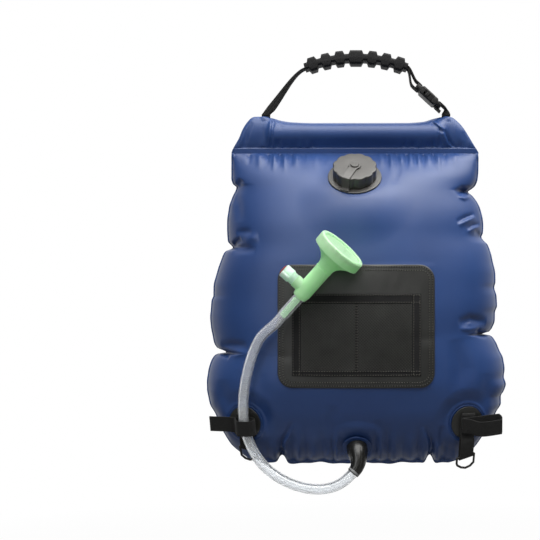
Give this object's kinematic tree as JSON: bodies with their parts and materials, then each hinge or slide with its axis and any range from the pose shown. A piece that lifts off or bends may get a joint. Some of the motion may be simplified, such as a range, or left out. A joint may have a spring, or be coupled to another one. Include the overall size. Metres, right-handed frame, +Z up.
{
  "type": "camp shower bag",
  "caption": "Filled hanging water bag with a ribbed carry handle, screw-cap filler, net pockets, corner straps and D-rings, and a hose with a valved shower head.",
  "frame": {"origin": "centre of the underside of the grip's centre rib, where the bag hangs on a hook or branch", "axes": "+Z up along the hanging bag, +Y from the front with the pockets to the back, +X to the right seen from the front"},
  "size_m": [0.364, 0.216, 0.5201],
  "materials": {
    "navy_film": "glossy, softly creased PVC film",
    "black_vinyl": "satin coated vinyl",
    "black_net": "open polyester net",
    "black_webbing": "ribbed polypropylene webbing",
    "black_plastic": "satin moulded plastic",
    "black_rubber": "matt soft rubber",
    "tube_plastic": "plain extruded tube",
    "mint_plastic": "glossy tinted plastic",
    "pale_mint_plastic": "glossy pale tinted plastic",
    "red_plastic": "satin dark red plastic",
    "clear_hose": "clear soft PVC hose"
  },
  "bodies": {
    "handle": {"grip": "black_rubber", "handle_webbing": "black_webbing", "buckle_socket": "black_plastic", "buckle_plug": "black_plastic", "anchor_webbing": "black_webbing"},
    "prong_front": {"buckle_prong_front": "black_plastic"},
    "prong_back": {"buckle_prong_back": "black_plastic"},
    "bag": {"bag_back": "navy_film", "bag_front": "navy_film", "cap_tether": "black_rubber", "core_webbing": "black_webbing", "dring_strap_left": "black_webbing", "dring_strap_right": "black_webbing", "filler_neck": "black_plastic", "hanger_tube": "tube_plastic", "head_body": "mint_plastic", "hose": "clear_hose", "hose_end": "clear_hose", "hose_strap_left": "black_webbing", "hose_strap_right": "black_webbing", "net_pocket_left": "black_net", "net_pocket_right": "black_net", "outlet_flange": "black_vinyl", "outlet_spout": "black_rubber", "patch_left": "black_vinyl", "patch_right": "black_vinyl", "pocket_bottom_binding": "black_webbing", "pocket_divider": "black_webbing", "pocket_left_binding": "black_webbing", "pocket_panel": "black_vinyl", "pocket_right_binding": "black_webbing", "pocket_top_binding": "black_webbing", "rose_cone": "mint_plastic", "rose_plate": "mint_plastic", "rose_ring": "mint_plastic", "rose_seal": "black_rubber", "sleeve_back": "navy_film", "sleeve_front": "navy_film"},
    "cap_pin": {"tether_pin": "black_plastic"},
    "screw_cap": {"cap": "black_plastic", "cap_gasket": "black_rubber"},
    "valve": {"valve_plug": "pale_mint_plastic", "valve_knob": "pale_mint_plastic", "knob_marker": "red_plastic", "valve_ring": "black_rubber"},
    "ring_left": {"dring_left": "black_plastic"},
    "ring_right": {"dring_right": "black_plastic"}
  },
  "joints": [
    {"name": "bag_swing", "type": "hinge", "parent": "handle", "child": "bag", "pos_m": [0, 0, -0.0591], "axis": [1, 0, 0], "range_deg": [-80, 80]},
    {"name": "cap_lift", "type": "slide", "parent": "bag", "child": "cap_pin", "axis": [0, -0.6691, 0.7431], "range_m": [0, 0.015], "deforming": ["cap_tether"]},
    {"name": "cap_turn", "type": "hinge", "parent": "cap_pin", "child": "screw_cap", "pos_m": [-0.0015, -0.04159, -0.139], "axis": [0, -0.6691, 0.7431], "range_deg": [0, 1080]},
    {"name": "valve_turn", "type": "hinge", "parent": "bag", "child": "valve", "pos_m": [-0.05654, -0.09877, -0.26912], "axis": [-0.7431, 0, 0.6691], "range_deg": [0, 90]},
    {"name": "left_ring_swing", "type": "hinge", "parent": "bag", "child": "ring_left", "pos_m": [-0.12563, -0.04079, -0.45342], "axis": [-0.9483, 0.2713, 0.1648], "range_deg": [-20, 5]},
    {"name": "right_ring_swing", "type": "hinge", "parent": "bag", "child": "ring_right", "pos_m": [0.12834, -0.03768, -0.46342], "axis": [-0.9294, -0.2392, -0.2811], "range_deg": [-20, 80]},
    {"name": "front_prong_squeeze", "type": "hinge", "parent": "handle", "child": "prong_front", "pos_m": [0.0899, -0.0085, -0.04086], "axis": [-0.6794, 0, -0.7337], "range_deg": [0, 12], "stiffness_Nm_per_rad": 0.05, "springref_deg": -2.86},
    {"name": "back_prong_squeeze", "type": "hinge", "parent": "handle", "child": "prong_back", "pos_m": [0.0899, 0.0085, -0.04086], "axis": [0.6794, 0, 0.7337], "range_deg": [0, 12], "stiffness_Nm_per_rad": 0.05, "springref_deg": -2.86}
  ],
  "couplings": [
    {"joint": "cap_turn", "follows": "cap_lift", "rad_per_m": 1256.6}
  ]
}
